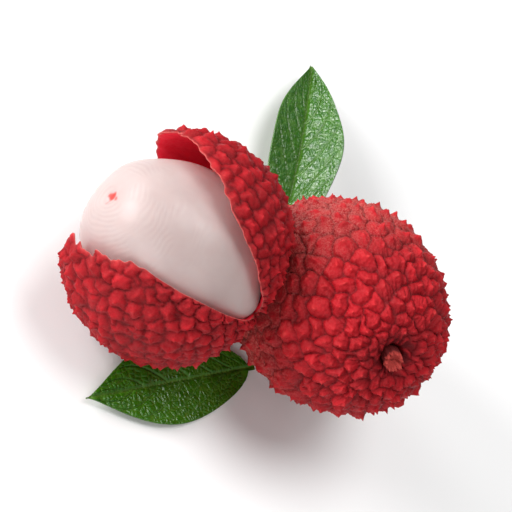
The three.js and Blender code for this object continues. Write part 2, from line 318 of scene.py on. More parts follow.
class Board:
    """Lays out the nodes of one material."""

    def __init__(self, name: str) -> None:
        """Starts an empty material.

        Args:
            name: The material's name.
        """
        self.material = bpy.data.materials.new(name)
        self.material.use_nodes = True
        self.tree = self.material.node_tree
        self.tree.nodes.clear()

    def node(self, kind: str, inputs: dict[Any, Any] | None = None, **settings: Any) -> bpy.types.Node:
        """Adds a node.

        Args:
            kind: Blender's name for the node's type.
            inputs: Values or sockets for the node's inputs.
            settings: The node's own properties.

        Returns:
            The node.
        """
        made = self.tree.nodes.new(kind)
        for key, value in settings.items():
            setattr(made, key, value)
        for key, value in (inputs or {}).items():
            if isinstance(value, bpy.types.NodeSocket):
                self.tree.links.new(value, made.inputs[key])
            else:
                made.inputs[key].default_value = (*value, 1) if self.is_colour(made, key, value) else value
        return made

    @staticmethod
    def is_colour(made: bpy.types.Node, key: Any, value: Any) -> bool:
        """Says whether a value is a plain colour for a colour input."""
        return made.inputs[key].type == "RGBA" and len(value) == 3

    def layer(self, name: str) -> bpy.types.NodeSocket:
        """Reads one of the mesh's own layers."""
        return self.node("ShaderNodeAttribute", attribute_name=name).outputs["Fac"]

    def place(self) -> bpy.types.NodeSocket:
        """Reads the place on the piece, in metres."""
        return self.node("ShaderNodeTexCoord").outputs["Object"]

    def noise(self, size: float, detail: float = 3.0, roughness: float = 0.55) -> bpy.types.NodeSocket:
        """Adds mottling.

        Args:
            size: How large its spots are, in millimetres.
            detail: How many finer layers it has.
            roughness: How strong those are.

        Returns:
            Shares from 0 to 1.
        """
        inputs = {"Vector": self.place(), "Scale": 1 / (size * MM), "Detail": detail, "Roughness": roughness}
        return self.node("ShaderNodeTexNoise", inputs).outputs["Fac"]

    def spread(self, share: Any, low: float, high: float, start: float = 0.0, end: float = 1.0) -> Any:
        """Stretches a share between two limits to another range.

        Args:
            share: The share to stretch.
            low: Where the new range starts.
            high: Where it ends.
            start: The share that gives low.
            end: The share that gives high.

        Returns:
            The stretched values.
        """
        inputs = {"Value": share, "From Min": start, "From Max": end, "To Min": low, "To Max": high}
        return self.node("ShaderNodeMapRange", inputs).outputs["Result"]

    def worked_out(self, what: str, first: Any, second: Any) -> bpy.types.NodeSocket:
        """Works out a sum, product or the like of two values."""
        return self.node("ShaderNodeMath", {0: first, 1: second}, operation=what).outputs["Value"]

    def ramp(self, share: Any, stops: tuple[tuple[float, Colour], ...]) -> bpy.types.NodeSocket:
        """Blends between colours.

        Args:
            share: Where on the ramp to read.
            stops: The places and colours of the ramp.

        Returns:
            The colours.
        """
        made = self.node("ShaderNodeValToRGB", {"Fac": share})
        elements = made.color_ramp.elements
        while len(elements) < len(stops):
            elements.new(1.0)
        for element, (where, colour) in zip(elements, stops):
            element.position = where
            element.color = (*colour, 1)
        return made.outputs["Color"]

    def grey(self, shade: Any) -> bpy.types.NodeSocket:
        """Turns a value into a grey."""
        return self.node("ShaderNodeCombineColor", {0: shade, 1: shade, 2: shade}).outputs[0]

    def mix(self, share: Any, first: Any, second: Any, how: str = "MIX") -> bpy.types.NodeSocket:
        """Mixes two colours.

        Args:
            share: How much of the second to take.
            first: The first colour.
            second: The second colour.
            how: Blender's name for the way of mixing.

        Returns:
            The mixed colours.
        """
        inputs = {"Factor": share, 6: first, 7: second}
        return self.node("ShaderNodeMix", inputs, data_type="RGBA", blend_type=how).outputs[2]

    def bump(self, height: Any, depth: float, strength: float = 1.0, under: Any = None) -> Any:
        """Roughens the surface's shading.

        Args:
            height: Shares from 0 to 1.
            depth: How deep the relief is, in millimetres.
            strength: How much of it shows.
            under: Another bump that this one lies on.

        Returns:
            The roughened normals.
        """
        inputs = {"Height": height, "Distance": depth * MM, "Strength": strength}
        if under is not None:
            inputs["Normal"] = under
        return self.node("ShaderNodeBump", inputs).outputs["Normal"]

    def surface(self, **inputs: Any) -> bpy.types.Material:
        """Ends the material with its shader.

        Args:
            inputs: The shader's inputs, with _ for the spaces in their names.

        Returns:
            The material.
        """
        named = {key.replace("_", " "): value for key, value in inputs.items()}
        shader = self.node("ShaderNodeBsdfPrincipled", named)
        self.node("ShaderNodeOutputMaterial", {"Surface": shader.outputs["BSDF"]})
        return self.material


@dataclass(frozen=True)
class RindFinish:
    """Rough red rind: dark in the valleys, coral on the bumps, with a pale grain all over that is partly
    dried skin and partly painted sheen. Its pit colour is painted shade, and its lining is brightened with
    painted light.
    """

    name: str
    valley: Colour = (0.13, 0.001, 0.004)
    flank: Colour = (0.27, 0.003, 0.008)
    top: Colour = (0.39, 0.008, 0.014)
    tip: Colour = (0.5, 0.03, 0.032)
    # Painted shade: near-black red that stands in for the shadow in the sunken stem end.
    pit: Colour = (0.08, 0.001, 0.003)
    # Painted light in part: the lining's own red, brightened far past it to stand in for bounce light and the
    # glow through the peel.
    lining_and_painted_glow: Colour = (0.95, 0.02, 0.05)
    torn: Colour = (0.5, 0.1, 0.09)
    # Pale coral of dried skin. Where the whole fruit's layer makes it strong, it is also painted sheen on the
    # side the light falls on.
    dry: Colour = (0.52, 0.15, 0.125)
    mottle_size: float = 1.1
    mottle_shift: float = 0.2
    mottle_depth: float = 0.16
    grain_size: float = 0.22
    grain_depth: float = 0.07
    dust_and_sheen: float = 0.9
    dust_and_sheen_limits: Span = (0.44, 0.62)
    cell_shades: Span = (0.82, 1.12)
    patch_size: float = 0.6
    roughness: Span = (0.44, 0.66)
    specular: float = 0.12

    def make(self) -> bpy.types.Material:
        """Makes the material, for a mesh with the layers rise, cell, dry, inside, torn and pit.

        Returns:
            The material.
        """
        board = Board(self.name)
        stops = ((0.04, self.valley), (0.3, self.flank), (0.72, self.top), (1.0, self.tip))
        mottle = board.noise(self.mottle_size, 5)
        grain = board.noise(self.grain_size, 4, 0.7)
        shift = board.spread(mottle, -self.mottle_shift, self.mottle_shift)
        colour = board.ramp(board.worked_out("ADD", board.layer("rise"), shift), stops)
        shade = board.grey(board.spread(board.layer("cell"), *self.cell_shades))
        colour = board.mix(1.0, colour, shade, "MULTIPLY")
        # Scatters the pale grain, which is partly dried skin and partly painted sheen, as far as the mesh's
        # layer asks.
        dust_and_sheen = board.spread(grain, 0, self.dust_and_sheen, *self.dust_and_sheen_limits)
        colour = board.mix(board.worked_out("MULTIPLY", dust_and_sheen, board.layer("dry")), colour, self.dry)
        # The pit colour is painted shade and the lining's brightness is partly painted light; the torn colour
        # is the edge's own.
        for layer, shown in (("pit", self.pit), ("inside", self.lining_and_painted_glow), ("torn", self.torn)):
            colour = board.mix(board.layer(layer), colour, shown)
        rough = board.spread(board.noise(self.patch_size, 4), *self.roughness, *NOISE_LIMITS)
        relief = board.bump(mottle, self.mottle_depth, 0.6)
        relief = board.bump(grain, self.grain_depth, 0.7, relief)
        return board.surface(
            Base_Color=colour, Roughness=rough, Normal=relief, Specular_IOR_Level=self.specular,
        )


@dataclass(frozen=True)
class FleshFinish:
    """Moist, translucent white flesh with faint fibres and a red scar where the stalk was."""

    name: str
    white: Colour = (0.44, 0.35, 0.337)
    blush: Colour = (0.405, 0.31, 0.297)
    scar: Colour = (0.5, 0.035, 0.025)
    fibre: Colour = (1.0, 0.98, 0.97)
    fibre_share: float = 0.05
    fibre_depth: float = 0.02
    cloud_size: float = 6.0
    cloud_limits: Span = (0.35, 0.7)
    patch_size: float = 2.5
    roughness: Span = (0.34, 0.46)
    specular: float = 0.45
    glow: float = 0.75
    glow_spread: Colour = (1.0, 0.62, 0.55)
    glow_depth: float = 1.2

    def make(self) -> bpy.types.Material:
        """Makes the material, for a mesh with the layers fibre and scar.

        Returns:
            The material.
        """
        board = Board(self.name)
        cloud = board.spread(board.noise(self.cloud_size, 3), 0, 1, *self.cloud_limits)
        colour = board.mix(cloud, self.white, self.blush)
        colour = board.mix(board.spread(board.layer("fibre"), 0, self.fibre_share), colour, self.fibre)
        colour = board.mix(board.layer("scar"), colour, self.scar)
        relief = board.bump(board.layer("fibre"), self.fibre_depth, 0.35)
        rough = board.spread(board.noise(self.patch_size, 4), *self.roughness, *NOISE_LIMITS)
        return board.surface(
            Base_Color=colour, Roughness=rough, Normal=relief, Specular_IOR_Level=self.specular,
            Subsurface_Weight=self.glow, Subsurface_Radius=self.glow_spread,
            Subsurface_Scale=self.glow_depth * MM,
        )


@dataclass(frozen=True)
class StalkFinish:
    """Torn stalk: dark bark outside, paler fibres at the broken end."""

    name: str
    bark: Colour = (0.1, 0.003, 0.004)
    wood: Colour = (0.36, 0.035, 0.028)
    fibre_size: float = 0.25
    fibre_shift: float = 0.3
    fibre_depth: float = 0.1
    roughness: float = 0.75
    specular: float = 0.3

    def make(self) -> bpy.types.Material:
        """Makes the material, for a mesh with the layer wood.

        Returns:
            The material.
        """
        board = Board(self.name)
        fibres = board.noise(self.fibre_size, 5, 0.7)
        shift = board.spread(fibres, -self.fibre_shift, self.fibre_shift)
        share = board.worked_out("ADD", board.layer("wood"), shift)
        return board.surface(
            Base_Color=board.ramp(share, ((0.1, self.bark), (0.9, self.wood))),
            Normal=board.bump(fibres, self.fibre_depth, 0.8),
            Roughness=self.roughness, Specular_IOR_Level=self.specular,
        )


@dataclass(frozen=True)
class LeafFinish:
    """Glossy green leaf: pale veins, mottled islands between them, and a paler underside."""

    name: str
    green: Colour = (0.011, 0.088, 0.0003)
    island: Colour = (0.025, 0.13, 0.001)
    vein: Colour = (0.085, 0.2, 0.02)
    underside: Colour = (0.1, 0.18, 0.05)
    net_share: float = 0.45
    vein_share: float = 0.75
    mottle_size: float = 1.6
    mottle_limits: Span = (0.35, 0.65)
    pebble_size: float = 0.6
    pebble_edge: float = 0.25
    pebble_depth: float = 0.035
    roughness: Span = (0.18, 0.27)
    specular: float = 0.6

    def make(self) -> bpy.types.Material:
        """Makes the material, for a mesh with the layers vein, net and under.

        Returns:
            The material.
        """
        board = Board(self.name)
        mottle = board.noise(self.mottle_size, 4)
        colour = board.mix(board.spread(mottle, 0, 1, *self.mottle_limits), self.green, self.island)
        colour = board.mix(board.spread(board.layer("net"), 0, self.net_share), colour, self.vein)
        colour = board.mix(board.spread(board.layer("vein"), 0, self.vein_share), colour, self.vein)
        colour = board.mix(board.layer("under"), colour, self.underside)
        inputs = {"Vector": board.place(), "Scale": 1 / (self.pebble_size * MM)}
        pebbles = board.node("ShaderNodeTexVoronoi", inputs, feature="DISTANCE_TO_EDGE").outputs["Distance"]
        relief = board.bump(board.spread(pebbles, 0, 1, 0, self.pebble_edge), self.pebble_depth, 0.7)
        rough = board.spread(mottle, *self.roughness, *NOISE_LIMITS)
        return board.surface(
            Base_Color=colour, Roughness=rough, Normal=relief, Specular_IOR_Level=self.specular,
        )


@dataclass(frozen=True)
class FloorFinish:
    """Plain pale floor."""

    name: str
    pale: Colour = (0.9, 0.9, 0.9)

    def make(self) -> bpy.types.Material:
        """Makes the material."""
        board = Board(self.name)
        return board.surface(Base_Color=self.pale, Roughness=0.7, Specular_IOR_Level=0.2)


@dataclass
class Shape:
    """A closed mesh on its way to becoming a piece."""

    points: np.ndarray
    faces: list[list[int]]
    layers: dict[str, np.ndarray] = field(default_factory=dict)

    def piece(self, name: str, node: str, slot: Slot, material: bpy.types.Material) -> bpy.types.Object:
        """Makes the piece that stands for a solid of the frame.

        Args:
            name: The piece's name.
            node: The solid that it replaces.
            slot: The record's slot for its finish; not used.
            material: Its finish.

        Returns:
            The piece, riding on the bunch's body.
        """
        mesh = bpy.data.meshes.new(name)
        mesh.from_pydata((self.points * MM).tolist(), [], self.faces)
        mesh.polygons.foreach_set("use_smooth", [True] * len(mesh.polygons))
        for layer, values in self.layers.items():
            data = mesh.attributes.new(layer, "FLOAT", "POINT").data
            data.foreach_set("value", np.ascontiguousarray(values, dtype=np.float32))
        mesh.materials.append(material)
        mesh.update()
        made = bpy.data.objects.new(name, mesh)
        bpy.context.collection.objects.link(made)
        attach(made, BODY)
        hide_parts(node)
        LOG.info("%s stands for %s: %d points", name, node, len(mesh.vertices))
        return made


def ball(subdivisions: int) -> tuple[np.ndarray, list[list[int]]]:
    """Makes an even ball of triangles.

    Args:
        subdivisions: How fine it is.

    Returns:
        Its unit directions and its faces.
    """
    mesh = bmesh.new()
    bmesh.ops.create_icosphere(mesh, subdivisions=subdivisions, radius=1.0)
    directions = np.array([vertex.co for vertex in mesh.verts])
    faces = [[vertex.index for vertex in face.verts] for face in mesh.faces]
    mesh.free()
    return unit(directions), faces


def ring_faces(rings: int, steps: int) -> list[list[int]]:
    """Joins a first point, rings of points and a last point into one closed skin.

    Args:
        rings: How many rings there are.
        steps: How many points each has.

    Returns:
        The faces. Point 0 is the first, the rings follow in order, and the last point ends the list.
    """
    here = np.arange(steps)
    following = np.roll(here, -1)
    faces = [[0, 1 + int(a), 1 + int(b)] for a, b in zip(here, following)]
    for ring in range(rings - 1):
        low, high = 1 + ring * steps, 1 + (ring + 1) * steps
        quads = np.stack([low + here, high + here, high + following, low + following], axis=-1)
        faces += quads.tolist()
    start, last = 1 + (rings - 1) * steps, 1 + rings * steps
    faces += [[last, start + int(b), start + int(a)] for a, b in zip(here, following)]
    return faces


@dataclass(frozen=True)
class Bed:
    """What a fruit is pressed by: the floor under its foot, and its neighbour."""

    foot: tuple[float, float]
    towards: Point
    reach: float
    softness: float = 0.4
    spot: Span = (3.2, 5.0)
    spot_depth: float = 1.45

    def press(self, points: np.ndarray, centre: Point) -> np.ndarray:
        """Presses a skin nearly flat on its neighbour and on the floor.

        Args:
            points: The skin, in the bunch's frame.
            centre: The fruit's centre.

        Returns:
            The pressed skin.
        """
        run = unit(np.array(self.towards))
        beyond = (points - np.array(centre)) @ run - self.reach
        held = -self.softness * np.logaddexp(0, -beyond / self.softness)
        pressed = points + (held - beyond)[:, None] * run
        away = np.hypot(pressed[:, 0] - self.foot[0], pressed[:, 1] - self.foot[1])
        low = pressed[:, 2] < self.spot_depth
        pressed[low, 2] *= ease(*self.spot, away[low])
        pressed[:, 2] = np.maximum(pressed[:, 2], 0)
        return pressed


WHOLE_CENTRE: Point = (10.15, 1.2, 19.2)
PEELED_CENTRE: Point = (-9.75, -22.85, 17.7)
TOWARDS_WHOLE: Point = tuple(np.subtract(WHOLE_CENTRE, PEELED_CENTRE))
TOWARDS_PEELED: Point = tuple(np.subtract(PEELED_CENTRE, WHOLE_CENTRE))


@dataclass(frozen=True)
class WholeLychee:
    """The whole fruit, with a pit at its stem end.

    A span is in degrees from the stem end, and says between which two angles something sets in.
    """

    egg: Egg = Egg(20.8, 20.3, 16.8)
    place: Place = Place(WHOLE_CENTRE, (0.577, -0.454, 0.679), (0, 0, 1))
    bed: Bed = Bed((7.45, 3.4), TOWARDS_PEELED, 15.55)
    skin: Tubercles = Tubercles(460, 1, height=1.45, crowding=1.5)
    cell_drift: float = 0.015
    bumps_start: Span = (4, 22)
    peaks_start: Span = (50, 100)
    scale_lean: float = 0.6
    scale_length: float = 5.0
    streaks_start: Span = (12, 30)
    streak_width: float = 0.9
    streak_height: float = 0.09
    pit_depth: float = 2.6
    pit_angle: float = 14.0
    pit_creases: int = 11
    crease_height: float = 0.5
    socket_radius: float = 1.95
    socket_edge: float = 0.5
    socket_depth: float = 1.2
    fineness: int = 8

    def bump_rise(self, cells: Cells, from_stem: np.ndarray, peaked: np.ndarray) -> np.ndarray:
        """Blends cobbles that lean away from the pit into the peaks of the far side.

        Args:
            cells: The cells of the skin's points.
            from_stem: Degrees of the points from the stem end.
            peaked: Shares from 0, for cobbles, to 1, for peaks.

        Returns:
            Shares of the bumps' height.
        """
        ahead = from_stem - stem_angle(self.skin.tips())[cells.number]
        lean = 1 + self.scale_lean * np.clip(ahead / self.scale_length, -1, 1) * (1 - peaked)
        cobble = Bump.COBBLED.value.rise(cells.inside) * lean
        return cobble + (Bump.PEAKED.value.rise(cells.inside) - cobble) * peaked

    def fine_relief(self, directions: np.ndarray, from_stem: np.ndarray, peaked: np.ndarray) -> np.ndarray:
        """Roughens the skin, and draws streaks over the cobbles that run away from the pit.

        Args:
            directions: Unit vectors of the skin's points.
            from_stem: Degrees of the points from the stem end.
            peaked: Shares from 0, for cobbles, to 1, for peaks.

        Returns:
            Heights in millimetres.
        """
        near = self.egg.points(directions)
        rough = 0.05 * Grain(1.1, 70).at(near) + 0.04 * Grain(0.5, 71).at(near)
        around = unit(directions[:, :2]) * self.egg.girth * 0.8
        stretched = np.column_stack([around, from_stem * 0.06])
        streaks = Grain(self.streak_width, 72).at(stretched) * ease(*self.streaks_start, from_stem)
        return rough + self.streak_height * streaks * (1 - peaked)

    def shape(self) -> Shape:
        """Raises the skin's bumps from a fine ball and sinks its pit.

        Returns:
            The skin, in the bunch's frame.
        """
        directions, faces = ball(self.fineness)
        wander = drift(directions * self.egg.girth, 3.0, 60)
        cells = self.skin.cells(unit(directions + self.cell_drift * wander))
        from_stem = stem_angle(directions)
        peaked = ease(*self.peaks_start, from_stem)
        rise = self.bump_rise(cells, from_stem, peaked)
        height = self.skin.heights(cells.number) * ease(*self.bumps_start, from_stem)
        pit = np.exp(-((from_stem / self.pit_angle) ** 2))
        creases = np.cos(np.radians(turn_angle(directions)) * self.pit_creases + 2 * wander[:, 0])
        from_axis = self.egg.girth * np.sin(np.radians(np.minimum(from_stem, 90)))
        socket = 1 - ease(self.socket_radius, self.socket_radius + self.socket_edge, from_axis)
        relief = self.fine_relief(directions, from_stem, peaked)
        relief += self.crease_height * creases * pit * (1 - pit)
        raised = height * rise + relief - self.pit_depth * pit - self.socket_depth * socket
        points = self.place.to_bunch(self.egg.points(directions, raised))
        layers = {
            "rise": np.clip(rise, 0, 1) ** 0.8,
            "cell": scatter(cells.number, 5),
            # Pale grain off the bumps' points, strong on the far side from the stem: partly dried skin,
            # partly painted sheen on the side the light falls on.
            "dry": 0.06 + 0.8 * peaked * (1 - ease(0.45, 0.75, cells.inside)),
            "inside": np.zeros(len(points)),
            "torn": np.zeros(len(points)),
            # Painted shade: darkens the sunken pit, and more in the grooves of its creases.
            "pit": np.clip(1.6 * pit * (0.8 - 0.35 * creases), 0, 1),
        }
        return Shape(self.bed.press(points, self.place.centre), faces, layers)

    def build(self) -> bpy.types.Object:
        """Makes the piece."""
        finish = RindFinish("whole_rind").make()
        return self.shape().piece("whole_lychee_skin", "whole_lychee", Slot.SKIN, finish)


@dataclass(frozen=True)
class StemStub:
    """The torn stub of the stalk, in the whole fruit's pit."""

    fruit: WholeLychee
    radius: float = 1.6
    height: float = 2.8
    hollow: float = 0.9
    raggedness: float = 0.4
    bend: tuple[float, float] = (-0.77, -0.23)
    # Share of the radius, share of the height, and share of the raggedness.
    outline: tuple[Point, ...] = (
        (0.85, 0.0, 0), (0.9, 0.15, 0), (0.97, 0.35, 0), (1.0, 0.55, 0), (1.0, 0.75, 0.2), (0.98, 0.9, 0.7),
        (0.95, 1.0, 1), (0.84, 1.0, 1), (0.7, 0.9, 0.7), (0.55, 0.8, 0.4), (0.35, 0.72, 0.2),
        (0.15, 0.68, 0),
    )
    bark_rings: int = 5
    steps: int = 72

    def shape(self) -> Shape:
        """Turns a ragged, hollowed peg on the fruit's axis and bends it.

        Returns:
            The stub, in the bunch's frame.
        """
        bottom = self.fruit.egg.stem - self.fruit.pit_depth - self.height / 3
        turn = 2 * math.pi * np.arange(self.steps) / self.steps
        circle = np.stack([np.cos(turn), np.sin(turn)], axis=-1)
        round_peg = circle * self.radius
        tears = self.raggedness * (Grain(1.1, 80).at(round_peg) + 0.6 * Grain(0.45, 81).at(round_peg))
        ribs = 1 + 0.05 * Grain(0.6, 82).at(round_peg)
        rings = [np.array([[0, 0, bottom]])]
        for wide, up, torn in self.outline:
            across = round_peg * (wide * ribs)[:, None] + np.array(self.bend) * up**2
            rings.append(np.column_stack([across, bottom + self.height * up + torn * tears]))
        rings.append(np.array([[*self.bend, bottom + self.height - self.hollow]]))
        points = self.fruit.place.to_bunch(np.concatenate(rings))
        wood = np.where(np.arange(len(points)) > self.bark_rings * self.steps, 1.0, 0.0)
        return Shape(points, ring_faces(len(self.outline), self.steps), {"wood": wood})

    def build(self) -> bpy.types.Object:
        """Makes the piece."""
        finish = StalkFinish("torn_stalk").make()
        return self.shape().piece("stem_stub_torn", "stem_stub", Slot.STALK, finish)


@dataclass(frozen=True)
class Flap:
    """One flap of the peel, bent outwards from the flesh."""

    turn: float
    width: float
    splay: float
    hinge: float
    curl: float = 0.34
    curl_span: Span = (30, 95)
    stiffness: float = 2.5

    def opening(self, directions: np.ndarray) -> np.ndarray:
        """Says how far the peel is bent outwards.

        Args:
            directions: Unit vectors in the fruit's own frame.

        Returns:
            Shares of the distance from the fruit's centre.
        """
        away = np.abs((turn_angle(directions) - self.turn + 180) % 360 - 180)
        across = np.where(away < self.width, 0.5 + 0.5 * np.cos(math.pi * away / self.width), 0)
        from_stem = stem_angle(directions)
        curled = 1 - self.curl * (1 - ease(*self.curl_span, from_stem))
        return self.splay * across * curled * np.maximum(0, 1 - (from_stem / self.hinge) ** self.stiffness)


class Rim(NamedTuple):
    """The peel's torn edge: degrees round the fruit, and degrees from the stem end."""

    turn: np.ndarray
    edge: np.ndarray

    def rows(self, shares: np.ndarray) -> np.ndarray:
        """Lays rows of directions between the edge and the blossom end.

        Args:
            shares: Where each row is, from 0 at the edge to 1 at the blossom end.

        Returns:
            Unit vectors, row after row.
        """
        angles = self.edge + np.outer(shares, 180 - self.edge)
        return direction_at(angles, self.turn).reshape(-1, 3)

    def away(self, shares: np.ndarray) -> np.ndarray:
        """Gives the degrees of such rows from the edge."""
        return np.outer(shares, 180 - self.edge).ravel()


class Sheet(NamedTuple):
    """Rows of a skin's points, with the layers that differ along them."""

    points: np.ndarray
    rise: np.ndarray
    cell: np.ndarray
    torn: np.ndarray


PEELED_PLACE = Place(PEELED_CENTRE, (-0.685, -0.657, 0.315), (0, -1, 1))
BLOSSOM_END = np.array([[0.0, 0.0, -1.0]])


@dataclass(frozen=True)
class Peel:
    """The half-peeled fruit's skin: a cup, split into two flaps."""

    egg: Egg = Egg(18.9, 14.8, 15.1)
    place: Place = PEELED_PLACE
    bed: Bed = Bed((-8.75, -25.4), TOWARDS_WHOLE, 15.2)
    skin: Tubercles = Tubercles(620, 41, height=1.3)
    flaps: tuple[Flap, ...] = (Flap(95, 108, 0.33, 172), Flap(-86, 105, 0.27, 180))
    # Degrees round the fruit from the split, and degrees from the stem end.
    rim_angles: tuple[tuple[float, float], ...] = (
        (-180, 98), (-142, 84), (-120, 50), (-96, 28), (-73, 31), (-48, 36), (-31, 42), (-23, 51),
        (-17, 64), (-10, 86), (-6, 118), (2, 148), (10, 130), (15, 112), (19, 97), (30, 79), (38, 70),
        (52, 62), (64, 56), (78, 53), (115, 51), (136, 62), (148, 78), (180, 98),
    )
    cell_drift: float = 0.014
    dryness: float = 0.08
    thickness: float = 0.75
    rim_thickness: float = 0.12
    rim_taper: float = 5.0
    rim_fade: float = 4.5
    lip: float = 0.1
    lip_lead: float = 2.0
    rim_samples: int = 3600
    rim_smoothing: int = 36
    steps_round: int = 620
    outer_rows: int = 170
    inner_rows: int = 60
    lip_rows: int = 6

    def rim_line(self) -> Rim:
        """Follows the torn edge in even steps.

        Returns:
            The torn edge.
        """
        turn = np.linspace(-180, 180, self.rim_samples, endpoint=False)
        edge = np.interp(turn, *np.array(self.rim_angles).T)
        reach = self.rim_smoothing
        kernel = np.exp(-np.linspace(-3, 3, 2 * reach + 1) ** 2 / 2)
        wrapped = np.concatenate([edge[-reach:], edge, edge[:reach]])
        edge = np.convolve(wrapped, kernel / kernel.sum(), "valid")
        around = np.radians(turn)
        circle = np.stack([np.cos(around), np.sin(around)], axis=-1)
        edge = edge + 0.9 * Grain(0.35, 90).at(circle) + 0.5 * Grain(0.12, 91).at(circle)
        line = self.egg.points(direction_at(edge, turn))
        gaps = np.linalg.norm(np.roll(line, -1, axis=0) - line, axis=1)
        along = np.concatenate([[0], np.cumsum(gaps)])
        even = np.linspace(0, along[-1], self.steps_round, endpoint=False)
        closed_edge = np.append(edge, edge[0])
        closed_turn = np.append(turn, 180)
        return Rim(np.interp(even, along, closed_turn), np.interp(even, along, closed_edge))

    def bent(self, directions: np.ndarray, rise: np.ndarray) -> np.ndarray:
        """Places directions on the peel, with its flaps bent outwards.

        Args:
            directions: Unit vectors in the fruit's own frame.
            rise: How far above the valleys of the skin the points are.

        Returns:
            Points in the bunch's frame.
        """
        splay = sum(flap.opening(directions) for flap in self.flaps)
        points = self.egg.points(directions, rise) + self.egg.points(directions) * splay[:, None]
        return self.bed.press(self.place.to_bunch(points), self.place.centre)

    def outer_sheet(self, rim: Rim) -> Sheet:
        """Builds the bumpy outside, from the blossom end up to the torn edge.

        Args:
            rim: The torn edge.

        Returns:
            The outside.
        """
        shares = np.linspace(1, 0, self.outer_rows + 1)[1:]
        directions = np.concatenate([BLOSSOM_END, rim.rows(shares)])
        near = self.egg.points(directions)
        cells = self.skin.cells(unit(directions + self.cell_drift * drift(near, 2.0, 100)))
        rise = Bump.COBBLED.value.rise(cells.inside)
        rough = 0.05 * Grain(1.0, 110).at(near) + 0.03 * Grain(0.45, 111).at(near)
        away = np.append(180.0, rim.away(shares))
        height = self.skin.heights(cells.number) * (0.2 + 0.8 * ease(0, self.rim_fade, away))
        points = self.bent(directions, height * rise + rough)
        return Sheet(points, rise, scatter(cells.number, 15), 0.2 * np.exp(-away))

    def inner_sheet(self, rim: Rim) -> Sheet:
        """Builds the smooth inside, from the torn edge down to the blossom end.

        Args:
            rim: The torn edge.

        Returns:
            The inside.
        """
        shares = np.linspace(0, 1, self.inner_rows, endpoint=False)
        directions = np.concatenate([rim.rows(shares), BLOSSOM_END])
        away = np.append(rim.away(shares), 180.0)
        wrinkles = 0.04 * Grain(2.5, 112).at(self.egg.points(directions))
        thinned = (self.thickness - self.rim_thickness) * np.exp(-away / self.rim_taper)
        points = self.bent(directions, wrinkles - self.thickness + thinned)
        middling = np.full(len(points), 0.5)
        return Sheet(points, middling, middling, np.where(away > 0, 0.0, 0.5))

    def lip_sheet(self, rim: Rim, start: np.ndarray, end: np.ndarray) -> Sheet:
        """Rounds the torn lip.

        Args:
            rim: The torn edge.
            start: The last row of the outside.
            end: The first row of the inside.

        Returns:
            The lip.
        """
        ahead = self.egg.points(direction_at(rim.edge - self.lip_lead, rim.turn))
        here = self.egg.points(direction_at(rim.edge, rim.turn))
        run = unit(self.place.to_bunch(ahead) - self.place.to_bunch(here))
        rows = []
        for share in np.arange(1, self.lip_rows) / self.lip_rows:
            rows.append(start * (1 - share) + end * share + run * self.lip * math.sin(math.pi * share))
        points = np.concatenate(rows)
        size = len(points)
        return Sheet(points, rise=np.full(size, 0.6), cell=np.full(size, 0.5), torn=np.full(size, 0.8))

    def shape(self) -> Shape:
        """Joins the outside, the lip and the inside into one closed skin.

        Returns:
            The peel, in the bunch's frame.
        """
        rim = self.rim_line()
        outer = self.outer_sheet(rim)
        inner = self.inner_sheet(rim)
        lip = self.lip_sheet(rim, outer.points[-self.steps_round:], inner.points[: self.steps_round])
        points, rise, cell, torn = (np.concatenate(parts) for parts in zip(outer, lip, inner))
        layers = {
            "rise": rise,
            "cell": cell,
            "dry": np.full(len(points), self.dryness),
            "inside": np.where(np.arange(len(points)) < len(points) - len(inner.points), 0.0, 1.0),
            "torn": torn,
            "pit": np.zeros(len(points)),
        }
        rings = self.outer_rows + self.lip_rows - 1 + self.inner_rows
        return Shape(points, ring_faces(rings, self.steps_round), layers)

    def build(self) -> bpy.types.Object:
        """Makes the piece."""
        finish = RindFinish("peeled_rind").make()
        return self.shape().piece("peeled_skin_flaps", "peeled_skin", Slot.PEEL, finish)


